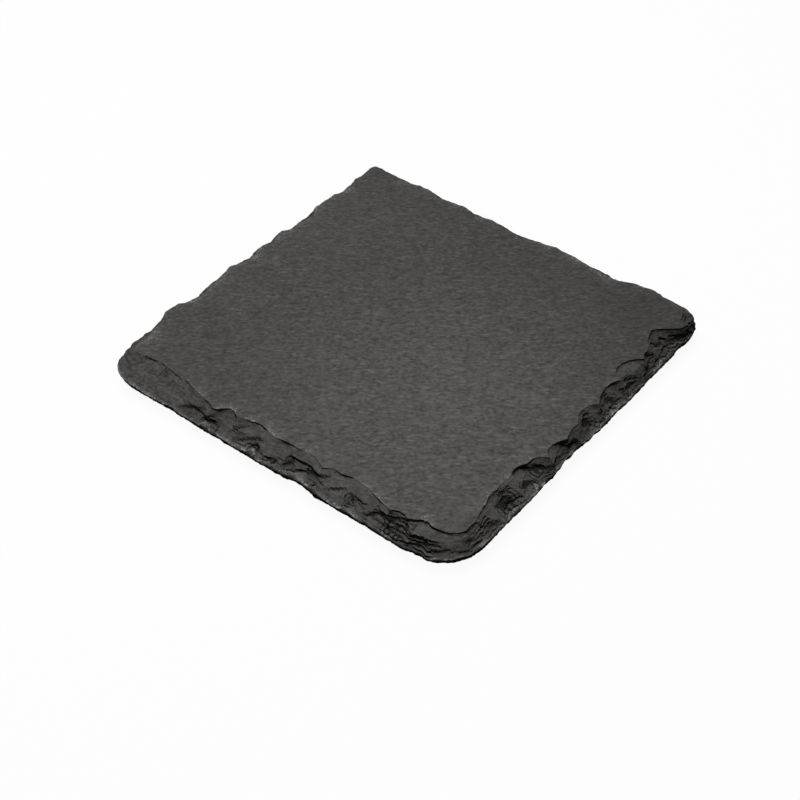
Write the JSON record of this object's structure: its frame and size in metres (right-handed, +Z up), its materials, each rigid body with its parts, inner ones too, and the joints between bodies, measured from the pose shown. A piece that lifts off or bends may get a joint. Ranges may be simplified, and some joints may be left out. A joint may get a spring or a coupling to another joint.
{
  "type": "drink coaster",
  "caption": "Square slate drink coaster, honed flat on top with hand-chipped stepped edges all round, on small foam feet stuck under its corners.",
  "frame": {"origin": "centre of the coaster's outline, on the surface that its feet stand on", "axes": "+Z up through the slab's thickness, +X along the front side from the left corner to the right one, +Y from the front side to the back side"},
  "size_m": [0.1, 0.098, 0.0066],
  "materials": {
    "slate": "matte",
    "black_foam": "matte",
    "adhesive": "satin"
  },
  "bodies": {
    "root": {"slate_slab": "slate", "foam_pad_front_left": "black_foam", "foam_pad_front_right": "black_foam", "foam_pad_back_right": "black_foam", "foam_pad_back_left": "black_foam", "adhesive_disc_front_left": "adhesive", "adhesive_disc_front_right": "adhesive", "adhesive_disc_back_right": "adhesive", "adhesive_disc_back_left": "adhesive"}
  },
  "joints": []
}
